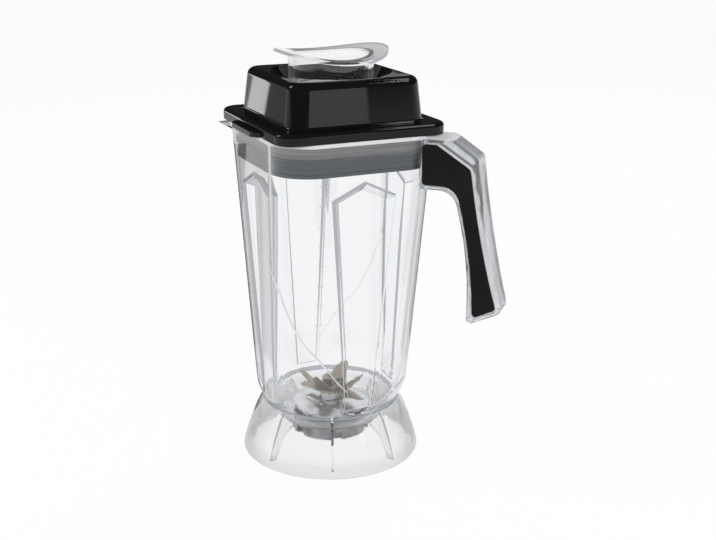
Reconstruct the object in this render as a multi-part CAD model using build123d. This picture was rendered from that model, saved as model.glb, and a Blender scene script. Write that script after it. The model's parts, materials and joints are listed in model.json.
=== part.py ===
from build123d import *
from math import hypot, pi, sqrt
import os

# Clear commercial blender jar, in millimetres.
# The origin is on the jar's axis, in the plane that the skirt stands on.
# +Z is up and +X points to the handle; the pouring spout is opposite, at -X.
# The square body stands on its corner: its faces look along the diagonals of X and Y.

# Jar body
rim_z = 276.0
rim_side = 137.5
rim_corner = 32.0
shoulder_z = 84.0
shoulder_side = 118.5
shoulder_corner = 41.0
wall = 4.0
lip_height = 3.0
lip_overhang = 1.2

# Bowl and skirt under the body
waist_z = 47.0
waist_r = 57.0
floor_under_z = 29.0
floor_thickness = 5.0
floor_r = 43.0
shoulder_relief = 0.8
skirt_r = 74.7
skirt_bulge = 1.8
skirt_wall = 3.6
skirt_edge_round = 1.2
rib_count = 8
rib_thickness = 2.0
rib_foot_z = 5.0
rib_foot_width = 7.0

# Flutes, one on each face: a gabled recess that narrows and dies out at the waist
flute_peak_z = 242.2
flute_eaves_z = 230.0
flute_eaves_half = 25.4
flute_mid_z = 165.0
flute_mid_half = 19.7
flute_end_z = 52.0
flute_end_half = 9.8
flute_depth_top = 8.5
flute_depth_end = 1.0
flute_draft = 0.75
flute_clear = 4.0

# Spout
spout_tip_r = 102.0
spout_width = 46.0
spout_height = 14.0
spout_drop = 5.0
spout_wall = 3.0
spout_round_share = 0.26

# Handle
handle_thickness = 27.0
handle_web = 9.0
handle_round = 4.0
handle_root_x = 68.0
handle_top_z = 275.2
handle_brow_x = 101.5
handle_knee_x = 124.4
handle_knee_z = 260.1
handle_end_x = 147.5
handle_end_z = 138.5
handle_back_sag = 2.1
handle_heel_x = 118.5
handle_heel_z = 124.5
handle_crook_x = 105.0
handle_crook_z = 233.0
handle_belly = 5.0
handle_brow_round = 10.0
handle_knee_round = 7.0
handle_end_round = 6.0
handle_heel_round = 4.0
handle_crook_round = 15.0

# Black inlays in the handle's sides: how far each corner stands in from the handle's own
inlay_root_gap = 0.2
inlay_top_margin = 5.9
inlay_brow_back = 9.5
inlay_knee_back = 4.9
inlay_knee_drop = 8.1
inlay_end_back = 4.1
inlay_end_rise = 3.3
inlay_heel_in = 5.5
inlay_heel_rise = 7.5
inlay_crook_in = 2.5
inlay_crook_rise = 3.8
inlay_belly = 3.6
inlay_crook_round = 14.0
inlay_knee_round = 6.0
inlay_corner_round = 3.0
inlay_plate = 2.6
inlay_lip = 2.2
inlay_depth = 7.5
inlay_gap = 0.15
inlay_proud = 0.5
inlay_edge_round = 1.0

# Lid
flange_side = 140.0
flange_corner = 15.0
flange_step = 4.2
flange_height = 8.8
flange_round = 3.2
flange_edge = 0.8
tab_reach = 76.0
tab_width = 54.0
tab_round = 8.0
dome_base_side = 116.0
dome_base_corner = 14.7
dome_top_side = 107.0
dome_top_corner = 13.0
dome_top_z = 319.0
dome_round = 6.5
dome_foot_round = 2.2
lid_wall = 3.0
well_r = 48.5
well_depth = 15.0
ledge_width = 3.6
socket_depth = 36.0
socket_wall = 2.6

# Seal on the lid's plug
plug_depth = 25.8
seal_depth = 26.8
seal_lip_reach = 1.6
seal_thickness = 2.4
seal_lip_height = 2.2
seal_lip_count = 3
seal_gap = 0.3
seal_fit = 0.05

# Measuring cup in the lid
cup_r = 34.0
cup_taper = 2.0
cup_wall = 2.5
cup_depth = 66.0
cup_gap = 1.0
cup_collar = 2.6
cup_collar_height = 3.0
cup_flange_r = 45.0
cup_flange_thickness = 2.6
cup_mid_z = 331.0
cup_bend_r = 150.0
cup_mouth_r = 30.0

# Bearing housing, clamped through the jar's floor
gasket_thickness = 1.2
housing_flange_r = 32.0
housing_flange_height = 3.4
housing_hub_r = 16.0
housing_hub_height = 2.6
housing_neck_r = 15.0
housing_end_land = 2.6
housing_fit = 0.3
nut_r = 32.0
nut_height = 12.5
nut_washer_thickness = 1.5
nut_notches = 6
nut_notch_width = 8.0
nut_notch_depth = 2.6
nut_collar = 4.0
thread_gap = 0.1

# Bearings and shaft
shaft_r = 5.0
bearing_r = 11.0
bearing_width = 6.0
bearing_span = 8.0
bearing_fit = 0.02
ball_r = 1.75
ball_count = 9
ball_gap = 0.06
race_thickness = 2.1
bearing_shoulder = 1.5
seal_ring_height = 4.0
seal_ring_r = 10.5
running_gap = 0.05
journal_r = 6.0
circlip_thickness = 1.1
circlip_depth = 0.8
circlip_gap = 0.1
spline_end_z = 3.5
spline_teeth = 10
spline_depth = 1.1

# Blades
slinger_gap = 0.6
slinger_r = 9.5
slinger_height = 6.0
stud_r = 4.0
stud_flat = 3.1
blade_thickness = 1.8
blade_hub_r = 10.5
blade_hole_gap = 0.05
blade_reach = 33.0
blade_bend_r = 12.0
blade_root_width = 16.0
blade_tip_width = 9.0
blade_bevel = 3.6
blade_edge = 0.4
upper_tilt = 54.0
middle_tilt = 42.0
lower_tilt = -6.0
upper_turn = 92.0
middle_turn = 20.0
lower_turn = -4.0
blade_washer_r = 8.0
blade_washer_thickness = 1.4
cap_nut_flats = 13.0
cap_nut_hex_height = 5.0
cap_nut_dome = 3.6

# Heights that follow from the sizes above
floor_z = floor_under_z + floor_thickness
housing_seat_z = floor_z + gasket_thickness
housing_flange_top_z = housing_seat_z + housing_flange_height
housing_top_z = housing_flange_top_z + housing_hub_height
seal_ring_z = housing_top_z - seal_ring_height
upper_bearing_z = seal_ring_z - bearing_shoulder - bearing_width
lower_bearing_z = upper_bearing_z - bearing_span - bearing_width
circlip_z = lower_bearing_z - circlip_thickness
housing_end_z = circlip_z - housing_end_land
slinger_z = housing_top_z + slinger_gap
blade_z = slinger_z + slinger_height
blade_stack_z = blade_z + 3 * blade_thickness
cap_nut_z = blade_stack_z + blade_washer_thickness
nut_top_z = floor_under_z - nut_washer_thickness
flange_z = rim_z
dome_z = rim_z + flange_height
plug_z = rim_z - plug_depth
ledge_z = dome_top_z - well_depth
socket_r = cup_r + cup_gap


def body_side(z, inset=0.0):
    share = (z - shoulder_z) / (rim_z - shoulder_z)
    return shoulder_side + (rim_side - shoulder_side) * share - 2 * inset


def body_corner(z, inset=0.0):
    share = (z - shoulder_z) / (rim_z - shoulder_z)
    return shoulder_corner + (rim_corner - shoulder_corner) * share - inset


def rounded_square(side, corner, z):
    """Rounded square that stands on its corner, at height z."""
    return Pos(0, 0, z) * Rot(0, 0, 45) * RectangleRounded(side, side, corner)


def tapered_square(low, high):
    """Ruled solid between two rounded squares, each given as side, corner and height."""
    return loft([rounded_square(*low).face(), rounded_square(*high).face()], ruled=True)


def square_block(side, corner, low_z, high_z):
    """Straight rounded-square block."""
    return extrude(rounded_square(side, corner, low_z), high_z - low_z)


def ring(outer_r, inner_r, low_z, high_z):
    """Plain round ring about the jar's axis."""
    height = high_z - low_z
    middle = Pos(0, 0, (low_z + high_z) / 2)
    return middle * (Cylinder(outer_r, height) - Cylinder(inner_r, height + 2))


def disc(r, low_z, high_z):
    """Plain round block about the jar's axis."""
    return Pos(0, 0, (low_z + high_z) / 2) * Cylinder(r, high_z - low_z)


def turned(points):
    """Solid turned about the axis from an outline of (r, z) points."""
    outline = Polyline(*[(r, 0, z) for r, z in points], close=True)
    return revolve(make_face(outline), Axis.Z)


def circle_through(a, b, c):
    """Centre and radius of the circle through three (r, z) points."""
    (ax, ay), (bx, by), (cx, cy) = a, b, c
    d = 2 * (ax * (by - cy) + bx * (cy - ay) + cx * (ay - by))
    sa, sb, sc = ax * ax + ay * ay, bx * bx + by * by, cx * cx + cy * cy
    ux = (sa * (by - cy) + sb * (cy - ay) + sc * (ay - by)) / d
    uy = (sa * (cx - bx) + sb * (ax - cx) + sc * (bx - ax)) / d
    return ux, uy, hypot(ax - ux, ay - uy)


def turned_arc(centre, low_z, high_z, top_r=None, top_z=None):
    """Solid turned from an arc of a circle (centre r, centre z, radius), closed to the axis."""
    cr, cz, radius = centre

    def at(z):
        return (cr + sqrt(radius**2 - (z - cz) ** 2), 0, z)

    low, middle, high = at(low_z), at((low_z + high_z) / 2), at(high_z)
    arc = ThreePointArc(low, middle, high)
    end = (0, 0, high_z)
    closing = [high, end]
    if top_z is not None:
        closing = [high, (top_r, 0, top_z), (0, 0, top_z)]
    rest = Polyline(*closing, (0, 0, low_z), low)
    return revolve(make_face([arc, rest]), Axis.Z)


def corner_reach(side, corner):
    """Distance from the axis to the tip of a rounded square's corner."""
    return (side / 2 - corner) * sqrt(2) + corner


def flute_cutters(inset=0.0):
    """Four flute cutters; an inset of one wall gives the side of the flutes inside the jar."""
    widening = inset * hypot(1, flute_draft)

    def outline(depth_top, depth_end):
        """Gable outline on a plane sunk by the two depths; the draft narrows it with the depth."""

        def depth_at(z):
            share = (z - flute_end_z) / (flute_peak_z - flute_end_z)
            return depth_end + (depth_top - depth_end) * share

        def point(half, z, lift):
            spread = widening - depth_at(z) * flute_draft
            across = half + spread if half else 0.0
            place_z = z + lift * spread
            return (body_side(place_z) / 2 - depth_at(place_z), across, place_z)

        peak = point(0.0, flute_peak_z, 1.0)
        right = [
            point(flute_eaves_half, flute_eaves_z, 0.5),
            point(flute_mid_half, flute_mid_z, 0.0),
            point(flute_end_half, flute_end_z, 0.0),
        ]
        left = [(x, -across, z) for x, across, z in reversed(right)]
        return Wire.make_polygon([peak, *right, *left], close=True)

    outer = outline(-flute_clear, -flute_clear)
    inner = outline(flute_depth_top + inset, flute_depth_end + inset)
    cutter = Solid.make_loft([outer, inner], ruled=True)
    return [Rot(0, 0, 45 + 90 * k) * cutter for k in range(4)]


def prism_wedge(top_points, low_points):
    """Ruled solid between two triangles."""
    top = Wire.make_polygon(top_points, close=True)
    low = Wire.make_polygon(low_points, close=True)
    return Solid.make_loft([low, top], ruled=True)


def spout_wedge(inset, root_top_z, tip_top_z):
    """Pouring beak at the -X corner; an inset gives the channel inside it."""
    low_z = rim_z - spout_height + inset
    root_x = spout_width / 2 - corner_reach(rim_side, rim_corner)
    half = spout_width / 2
    slant = hypot(spout_tip_r + root_x, half) / half
    tip_x = inset * slant - spout_tip_r
    low_tip_x = wall / 4 + inset * slant - corner_reach(body_side(low_z), body_corner(low_z))
    half -= inset
    low_half = half / 3
    top = [(root_x, half, root_top_z), (tip_x, 0, tip_top_z), (root_x, -half, root_top_z)]
    low = [(root_x, low_half, low_z), (low_tip_x, 0, low_z), (root_x, -low_half, low_z)]
    return prism_wedge(top, low)


def arc_with_sag(start, end, sag):
    """Arc between two points of a plane whose middle stands off the chord by sag."""
    length = hypot(end[0] - start[0], end[1] - start[1])
    across = ((end[1] - start[1]) / length, -(end[0] - start[0]) / length)
    middle = [(start[k] + end[k]) / 2 + sag * across[k] for k in range(2)]
    return ThreePointArc(start, tuple(middle), end)


def vertex_at(shape, x, y):
    """The vertex of a flat shape nearest to (x, y)."""
    return shape.vertices().sort_by_distance(Vector(x, y, 0))[0]


def side_outline(corners, rounds, back_sag, belly):
    """Side view of the handle or of its inlay, with x along local X and height along local Y.

    The corners run root top, brow, knee, end, heel, crook and root low.
    """
    root_top, brow, knee, end, heel, crook, root_low = corners
    edges = [
        Line(root_top, brow),
        Line(brow, knee),
        arc_with_sag(knee, end, back_sag),
        Line(end, heel),
        arc_with_sag(heel, crook, belly),
        Line(crook, root_low),
        Line(root_low, root_top),
    ]
    outline = make_face(edges)
    for corner, radius in zip(corners, rounds):
        if radius:
            outline = fillet(vertex_at(outline, *corner), radius)
    return outline


def handle_outline():
    corners = [
        (handle_root_x, handle_top_z),
        (handle_brow_x, handle_top_z),
        (handle_knee_x, handle_knee_z),
        (handle_end_x, handle_end_z),
        (handle_heel_x, handle_heel_z),
        (handle_crook_x, handle_crook_z),
        (handle_root_x, handle_crook_z),
    ]
    rounds = [
        0,
        handle_brow_round,
        handle_knee_round,
        handle_end_round,
        handle_heel_round,
        handle_crook_round,
        0,
    ]
    return side_outline(corners, rounds, handle_back_sag, handle_belly)


def inlay_outline():
    """Outline of the handle's side pocket."""
    root_x = corner_reach(body_side(handle_crook_z), body_corner(handle_crook_z)) + inlay_root_gap
    top_z = handle_top_z - inlay_top_margin
    low_z = handle_crook_z + inlay_crook_rise
    corners = [
        (root_x, top_z),
        (handle_brow_x - inlay_brow_back, top_z),
        (handle_knee_x - inlay_knee_back, handle_knee_z - inlay_knee_drop),
        (handle_end_x - inlay_end_back, handle_end_z + inlay_end_rise),
        (handle_heel_x + inlay_heel_in, handle_heel_z + inlay_heel_rise),
        (handle_crook_x + inlay_crook_in, low_z),
        (root_x, low_z),
    ]
    rounds = [
        inlay_corner_round,
        inlay_corner_round,
        inlay_knee_round,
        inlay_corner_round,
        inlay_corner_round,
        inlay_crook_round,
        inlay_corner_round,
    ]
    return side_outline(corners, rounds, handle_back_sag, inlay_belly)


def upright(outline, near_y, far_y):
    """Extrudes a side-view outline from one Y to another."""
    thickness = far_y - near_y
    return Pos(0, far_y, 0) * extrude(Plane.XZ * outline, thickness)


def make_handle():
    half = handle_thickness / 2
    bar = upright(handle_outline(), -half, half)
    sides = bar.faces().filter_by(Axis.Y)
    return fillet(sides.edges(), handle_round)


def handle_pockets():
    half = handle_thickness / 2
    near = upright(inlay_outline(), -half - 1, -handle_web / 2)
    return [near, mirror(near, Plane.XZ)]


def make_inlay():
    """Black grip inlay of the -Y side: a face plate with a rim that reaches into the pocket."""
    outer_y = -handle_thickness / 2 - inlay_proud
    outside = offset(inlay_outline(), -inlay_gap)
    inside = offset(inlay_outline(), -inlay_gap - inlay_lip)
    plate = upright(outside, outer_y, outer_y + inlay_depth)
    hollow = upright(inside, outer_y + inlay_plate, outer_y + inlay_depth + 1)
    face_edges = plate.faces().sort_by(Axis.Y)[0].edges()
    return fillet(face_edges, inlay_edge_round) - hollow


bowl_circle = circle_through(
    (floor_r, floor_under_z),
    (waist_r, waist_z),
    (corner_reach(shoulder_side, shoulder_corner) + shoulder_relief, shoulder_z),
)
skirt_middle_r = (skirt_r + waist_r) / 2 + skirt_bulge
skirt_circle = circle_through((skirt_r, 0), (skirt_middle_r, waist_z / 2), (waist_r, waist_z))


def body_form(inset, low_z, high_z):
    """Square body run out below into the round bowl; an inset gives the hollow."""
    block = tapered_square(
        (body_side(low_z, inset), body_corner(low_z, inset), low_z),
        (body_side(high_z, inset), body_corner(high_z, inset), high_z),
    )
    cr, cz, radius = bowl_circle
    top_r = corner_reach(body_side(high_z), body_corner(high_z)) + flute_clear
    bowl = turned_arc((cr, cz, radius - inset), low_z, shoulder_z, top_r, high_z)
    return block & bowl


def make_skirt():
    cr, cz, radius = skirt_circle
    bell = turned_arc(skirt_circle, 0, waist_z)
    bell = fillet(bell.edges().group_by(Axis.Z)[0], skirt_edge_round)
    hollow_top = waist_z - skirt_wall
    return bell - turned_arc((cr, cz, radius - skirt_wall), 0, hollow_top)


def skirt_ribs():
    """Thin radial ribs between the bowl and the skirt, each with a foot near the bottom edge."""
    cr, cz, radius = skirt_circle

    def skirt_at(z):
        return cr + sqrt((radius - skirt_wall / 2) ** 2 - (z - cz) ** 2)

    top_z = waist_z - skirt_wall / 2
    outline = Polyline(
        (floor_r - wall, floor_under_z + wall),
        (skirt_at(top_z) - skirt_wall, top_z),
        (skirt_at(floor_under_z), floor_under_z),
        (skirt_at(rib_foot_z), rib_foot_z),
        (skirt_at(rib_foot_z) - rib_foot_width, rib_foot_z),
        (skirt_at(floor_under_z) - rib_foot_width, floor_under_z - rib_foot_width),
        close=True,
    )
    rib = Pos(0, rib_thickness / 2, 0) * extrude(Plane.XZ * make_face(outline), rib_thickness)
    step = 360 / rib_count
    return [Rot(0, 0, step * (k + 0.5)) * rib for k in range(rib_count)]


def make_jar_body():
    outside = body_form(0.0, floor_under_z, rim_z)
    for cutter in flute_cutters():
        outside -= cutter
    lip_side = rim_side + 2 * lip_overhang
    outside += square_block(lip_side, rim_corner + lip_overhang, rim_z - lip_height, rim_z)
    beak = spout_wedge(0.0, rim_z, rim_z - spout_drop)
    tip_edge = beak.edges().sort_by(Axis.X)[0]
    beak_reach = spout_tip_r - corner_reach(rim_side, rim_corner)
    outside += fillet(tip_edge, spout_round_share * beak_reach)
    outside += make_handle()
    outside += make_skirt()
    for rib in skirt_ribs():
        outside += rib
    hollow = body_form(wall, floor_z, rim_z + 1)
    for cutter in flute_cutters(wall):
        hollow -= cutter
    body = outside - hollow - spout_wedge(spout_wall, rim_z + 1, rim_z + 1)
    for pocket in handle_pockets():
        body -= pocket
    return body - disc(housing_neck_r + housing_fit, floor_under_z - 1, floor_z + 1)


def plug_square(inset):
    """Side and corner of the lid's plug, which leaves room for the seal inside the jar's rim."""
    room = wall + seal_gap + seal_lip_reach + seal_thickness + seal_fit + inset
    low_z = rim_z - seal_depth
    return body_side(low_z, room), body_corner(low_z, room)


def make_lid():
    tabs = Rot(0, 0, 45) * RectangleRounded(2 * tab_reach, tab_width, tab_round)
    tongue = extrude(Pos(0, 0, flange_z) * tabs, flange_step)
    tongue = fillet(tongue.edges().group_by(Axis.Z)[-1], flange_edge)
    brim = square_block(flange_side, flange_corner, flange_z, dome_z)
    brim = fillet(brim.edges().group_by(Axis.Z)[-1], flange_round)
    brim += tongue
    dome = tapered_square(
        (dome_base_side, dome_base_corner, flange_z),
        (dome_top_side, dome_top_corner, dome_top_z),
    )
    dome = fillet(dome.faces().sort_by(Axis.Z)[-1].edges(), dome_round)
    plug = square_block(*plug_square(0.0), plug_z, flange_z)
    inner_plug = square_block(*plug_square(lid_wall), plug_z, flange_z)
    inner_dome = tapered_square(
        (dome_base_side - 2 * lid_wall, dome_base_corner - lid_wall, flange_z),
        (dome_top_side - 2 * lid_wall, dome_top_corner - lid_wall, dome_top_z - lid_wall),
    )
    inner_dome = fillet(inner_dome.faces().sort_by(Axis.Z)[-1].edges(), dome_round - lid_wall)
    ledge_r = socket_r + ledge_width
    socket_low_z = ledge_z - socket_depth
    socket_out_r = socket_r + socket_wall
    socket = turned(
        [
            (0, socket_low_z),
            (socket_out_r, socket_low_z),
            (socket_out_r, ledge_z - lid_wall),
            (ledge_r + lid_wall, ledge_z - lid_wall),
            (well_r + lid_wall, dome_top_z),
            (0, dome_top_z),
        ]
    )
    well = turned(
        [
            (0, socket_low_z - 1),
            (socket_r, socket_low_z - 1),
            (socket_r, ledge_z),
            (ledge_r, ledge_z),
            (well_r, dome_top_z),
            (well_r, dome_top_z + 1),
            (0, dome_top_z + 1),
        ]
    )
    crown = brim + dome
    ledge = crown.faces().sort_by(lambda face: abs(face.center().Z - dome_z))[0]
    crown = fillet(ledge.inner_wires()[0].edges(), dome_foot_round)
    shell = crown + plug - inner_plug - inner_dome
    return shell + (socket & dome) + disc(socket_out_r, socket_low_z, ledge_z) - well


def make_lid_seal():
    """Rubber sleeve on the lid's plug, with lips that reach to the jar's wall."""
    low_z = rim_z - seal_depth
    high_z = rim_z - lip_height / 2
    inner_side, inner_corner = plug_square(-seal_fit)
    sleeve = square_block(*plug_square(-seal_fit - seal_thickness), low_z, high_z)
    pitch = (high_z - low_z - seal_lip_height) / (seal_lip_count - 1)
    for k in range(seal_lip_count):
        lip_z = low_z + k * pitch
        side = body_side(lip_z, wall + seal_gap)
        corner = body_corner(lip_z, wall + seal_gap)
        sleeve += square_block(side, corner, lip_z, lip_z + seal_lip_height)
    return sleeve - square_block(inner_side, inner_corner, low_z - 1, high_z + 1)


def make_measuring_cup():
    """Clear cup whose rim is a round plate bent up at two sides."""
    low_z = cup_mid_z - cup_depth
    high_z = cup_mid_z + cup_flange_r
    low_r = cup_r - cup_taper
    outer = turned([(0, low_z), (low_r, low_z), (cup_r, cup_mid_z), (cup_r, high_z), (0, high_z)])
    outer += disc(socket_r + cup_collar, ledge_z, ledge_z + cup_collar_height)
    bend_axis = Pos(0, 0, cup_mid_z + cup_bend_r) * Rot(0, 0, 45) * Rot(90, 0, 0)
    above = bend_axis * Cylinder(cup_bend_r, 4 * cup_flange_r)
    plate = bend_axis * Cylinder(cup_bend_r + cup_flange_thickness, 4 * cup_flange_r)
    flange = plate & disc(cup_flange_r, low_z, high_z)
    inside = turned(
        [
            (0, low_z + cup_wall),
            (low_r - cup_wall, low_z + cup_wall),
            (cup_mouth_r, cup_mid_z),
            (cup_mouth_r, high_z + 1),
            (0, high_z + 1),
        ]
    )
    return outer + flange - above - inside


def make_bearing_housing():
    bore_r = bearing_r + bearing_fit
    step_r = bearing_r - race_thickness
    outer = turned(
        [
            (0, housing_end_z),
            (housing_neck_r, housing_end_z),
            (housing_neck_r, housing_seat_z),
            (housing_flange_r, housing_seat_z),
            (housing_flange_r, housing_flange_top_z - housing_hub_height / 2),
            (housing_hub_r, housing_top_z),
            (0, housing_top_z),
        ]
    )
    outer -= disc(bore_r, housing_end_z - 1, upper_bearing_z + bearing_width)
    outer -= disc(step_r, housing_end_z - 1, housing_top_z + 1)
    outer -= disc(seal_ring_r + bearing_fit, seal_ring_z, housing_top_z + 1)
    groove_r = bore_r + circlip_depth + circlip_gap
    return outer - disc(groove_r, circlip_z - circlip_gap, lower_bearing_z)


def make_retaining_nut():
    """Ring nut with a flat top flange, notched round its edge for a pin spanner."""
    low_z = nut_top_z - nut_height
    sleeve_r = housing_neck_r + thread_gap + nut_collar
    body = disc(nut_r, low_z, nut_top_z)
    body -= ring(nut_r - nut_collar, sleeve_r, low_z - 1, nut_top_z - nut_collar)
    notch = Pos(nut_r, 0, low_z) * Box(2 * nut_notch_depth, nut_notch_width, nut_height)
    for k in range(nut_notches):
        body -= Rot(0, 0, k * 360 / nut_notches) * notch
    return body - disc(housing_neck_r + thread_gap, low_z - 1, nut_top_z + 1)


def bearing_parts(low_z):
    """Outer ring, inner ring and balls of one deep-groove bearing."""
    high_z = low_z + bearing_width
    middle_z = (low_z + high_z) / 2
    pitch_r = (shaft_r + bearing_r) / 2
    groove = Pos(0, 0, middle_z) * Torus(pitch_r, ball_r + ball_gap)
    outer = ring(bearing_r, bearing_r - race_thickness, low_z, high_z) - groove
    inner = ring(shaft_r + race_thickness, shaft_r + bearing_fit, low_z, high_z) - groove
    ball = Pos(pitch_r, 0, middle_z) * Sphere(ball_r)
    balls = [Rot(0, 0, k * 360 / ball_count) * ball for k in range(ball_count)]
    return outer, inner, Compound(children=balls)


def snap_ring(outer_r, inner_r, low_z):
    """Retaining ring, open on one side."""
    slot = Pos(outer_r, 0, low_z) * Box(2 * outer_r, 2 * circlip_thickness, 4 * circlip_thickness)
    return ring(outer_r, inner_r, low_z, low_z + circlip_thickness) - slot


def make_blade_shaft():
    stud_top_z = cap_nut_z + cap_nut_hex_height
    shaft = turned(
        [
            (0, spline_end_z),
            (shaft_r, spline_end_z),
            (shaft_r, upper_bearing_z + bearing_width),
            (journal_r, upper_bearing_z + bearing_width),
            (journal_r, slinger_z),
            (slinger_r, slinger_z),
            (slinger_r, blade_z),
            (stud_r, blade_z),
            (stud_r, stud_top_z),
            (0, stud_top_z),
        ]
    )
    flat_height = blade_stack_z - blade_z
    for side in (1, -1):
        beside = Box(4 * stud_r, 2 * stud_r, flat_height)
        shaft -= Pos(0, side * (stud_flat + stud_r), blade_z + flat_height / 2) * beside
    groove_r = shaft_r - circlip_depth
    shaft -= ring(shaft_r + 1, groove_r, circlip_z - circlip_gap, lower_bearing_z)
    gap_width = shaft_r * pi / spline_teeth
    gap_height = circlip_z - housing_end_land - spline_end_z
    gap = Pos(shaft_r, 0, spline_end_z + gap_height / 2) * Box(2 * spline_depth, gap_width, gap_height)
    for k in range(spline_teeth):
        shaft -= Rot(0, 0, k * 360 / spline_teeth) * gap
    return shaft


def make_blade(low_z, tilt, turn):
    """Stamped two-wing blade: a flat hub, and wings bent up or down with a bevelled cutting edge."""
    length = blade_reach - blade_bend_r
    half_root = blade_root_width / 2
    half_tip = blade_tip_width / 2
    edge_line = Line((0, half_root), (length, half_tip - half_root))
    outline = make_face(
        [
            edge_line,
            Line((length, half_tip - half_root), (length - half_tip, -half_root)),
            Line((length - half_tip, -half_root), (0, -half_root)),
            Line((0, -half_root), (0, half_root)),
        ]
    )
    plate = extrude(outline, blade_thickness)
    cutting = plate.edges().sort_by_distance(edge_line @ 0.5 + Vector(0, 0, blade_thickness))[0]
    top = plate.faces().sort_by(Axis.Z)[-1]
    plate = chamfer(cutting, blade_bevel, blade_thickness - blade_edge, reference=top)
    pivot_z = blade_thickness if tilt < 0 else 0.0
    wing = Pos(blade_bend_r, 0, low_z + pivot_z) * Rot(0, -tilt, 0) * Pos(0, 0, -pivot_z) * plate
    blade = disc(blade_hub_r, low_z, low_z + blade_thickness)
    middle = Pos(0, 0, low_z + blade_thickness / 2)
    blade += middle * Box(2 * blade_bend_r, blade_root_width, blade_thickness)
    blade += wing
    blade += Rot(0, 0, 180) * wing
    hole = Cylinder(stud_r + blade_hole_gap, 2 * blade_thickness)
    hole &= Box(4 * stud_r, 2 * (stud_flat + blade_hole_gap), 2 * blade_thickness)
    return Rot(0, 0, turn) * blade - middle * hole


def make_cap_nut():
    """Domed nut on the stud above the blades."""
    top_z = cap_nut_z + cap_nut_hex_height
    corner_r = cap_nut_flats / sqrt(3)
    hexagon = extrude(Pos(0, 0, cap_nut_z) * RegularPolygon(corner_r, 6), cap_nut_hex_height)
    dome_r = (cap_nut_flats**2 / 4 + cap_nut_dome**2) / (2 * cap_nut_dome)
    ball = Pos(0, 0, top_z + cap_nut_dome - dome_r) * Sphere(dome_r)
    cap = ball & disc(cap_nut_flats / 2, top_z, top_z + cap_nut_dome)
    hole = disc(stud_r + thread_gap, cap_nut_z - 1, top_z + thread_gap)
    return hexagon + cap - hole


def make_parts():
    inlay = make_inlay()
    upper_outer, upper_inner, upper_balls = bearing_parts(upper_bearing_z)
    lower_outer, lower_inner, lower_balls = bearing_parts(lower_bearing_z)
    spacer_z = (lower_bearing_z + bearing_width, upper_bearing_z)
    neck_hole_r = housing_neck_r + housing_fit
    return {
        "jar_body": make_jar_body(),
        "handle_inlay_left": inlay,
        "handle_inlay_right": mirror(inlay, Plane.XZ),
        "lid": make_lid(),
        "lid_seal": make_lid_seal(),
        "measuring_cup": make_measuring_cup(),
        "housing_gasket": ring(housing_flange_r, neck_hole_r, floor_z, housing_seat_z),
        "bearing_housing": make_bearing_housing(),
        "nut_washer": ring(nut_r - nut_collar, neck_hole_r, nut_top_z, floor_under_z),
        "retaining_nut": make_retaining_nut(),
        "shaft_seal": ring(seal_ring_r, journal_r + running_gap, seal_ring_z, housing_top_z),
        "upper_bearing_outer_ring": upper_outer,
        "upper_bearing_balls": upper_balls,
        "lower_bearing_outer_ring": lower_outer,
        "lower_bearing_balls": lower_balls,
        "outer_spacer": ring(bearing_r, bearing_r - race_thickness, *spacer_z),
        "housing_circlip": snap_ring(bearing_r + circlip_depth, bearing_r - race_thickness, circlip_z),
        "blade_shaft": make_blade_shaft(),
        "upper_bearing_inner_ring": upper_inner,
        "lower_bearing_inner_ring": lower_inner,
        "inner_spacer": ring(shaft_r + race_thickness, shaft_r + bearing_fit, *spacer_z),
        "shaft_circlip": snap_ring(shaft_r + race_thickness, shaft_r - circlip_depth + circlip_gap, circlip_z),
        "lower_blade": make_blade(blade_z, lower_tilt, lower_turn),
        "middle_blade": make_blade(blade_z + blade_thickness, middle_tilt, middle_turn),
        "upper_blade": make_blade(blade_z + 2 * blade_thickness, upper_tilt, upper_turn),
        "blade_washer": ring(blade_washer_r, stud_r + thread_gap, blade_stack_z, cap_nut_z),
        "cap_nut": make_cap_nut(),
    }


os.makedirs("parts", exist_ok=True)
for name, shape in make_parts().items():
    export_step(shape, f"parts/{name}.step")
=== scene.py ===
import json
import math

import bmesh
import bpy
from mathutils import Matrix, Vector
from mathutils.bvhtree import BVHTree


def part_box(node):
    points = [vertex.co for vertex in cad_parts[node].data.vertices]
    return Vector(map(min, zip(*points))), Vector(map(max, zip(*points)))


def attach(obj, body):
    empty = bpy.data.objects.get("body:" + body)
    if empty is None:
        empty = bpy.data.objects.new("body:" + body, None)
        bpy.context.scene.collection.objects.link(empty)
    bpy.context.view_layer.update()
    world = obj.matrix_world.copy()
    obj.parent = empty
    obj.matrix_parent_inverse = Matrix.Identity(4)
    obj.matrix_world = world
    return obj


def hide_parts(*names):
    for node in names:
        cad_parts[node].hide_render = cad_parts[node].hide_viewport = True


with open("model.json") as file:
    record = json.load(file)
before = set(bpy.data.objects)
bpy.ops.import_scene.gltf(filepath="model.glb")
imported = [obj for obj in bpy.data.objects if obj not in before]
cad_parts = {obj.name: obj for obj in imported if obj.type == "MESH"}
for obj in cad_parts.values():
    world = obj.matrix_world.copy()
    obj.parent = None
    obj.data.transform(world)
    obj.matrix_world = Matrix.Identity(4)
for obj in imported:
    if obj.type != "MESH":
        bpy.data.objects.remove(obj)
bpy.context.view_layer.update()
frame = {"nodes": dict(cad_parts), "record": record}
record = frame["record"]
bodies = record["behaviour"]["bodies"]
bodyOfNode = {node: body for body, nodes in bodies.items() for node in nodes}
mm = 0.001
print("stage 1: frame loaded,", len(frame["nodes"]), "nodes")


# Small helpers for shader trees

def newMaterial(name):
    material = bpy.data.materials.new(name)
    material.use_nodes = True
    material.node_tree.nodes.clear()
    return material, material.node_tree.nodes, material.node_tree.links


def addNode(nodes, kind, x=0, y=0, **values):
    node = nodes.new(kind)
    node.location = (x, y)
    for key, value in values.items():
        setattr(node, key, value)
    return node


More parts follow.
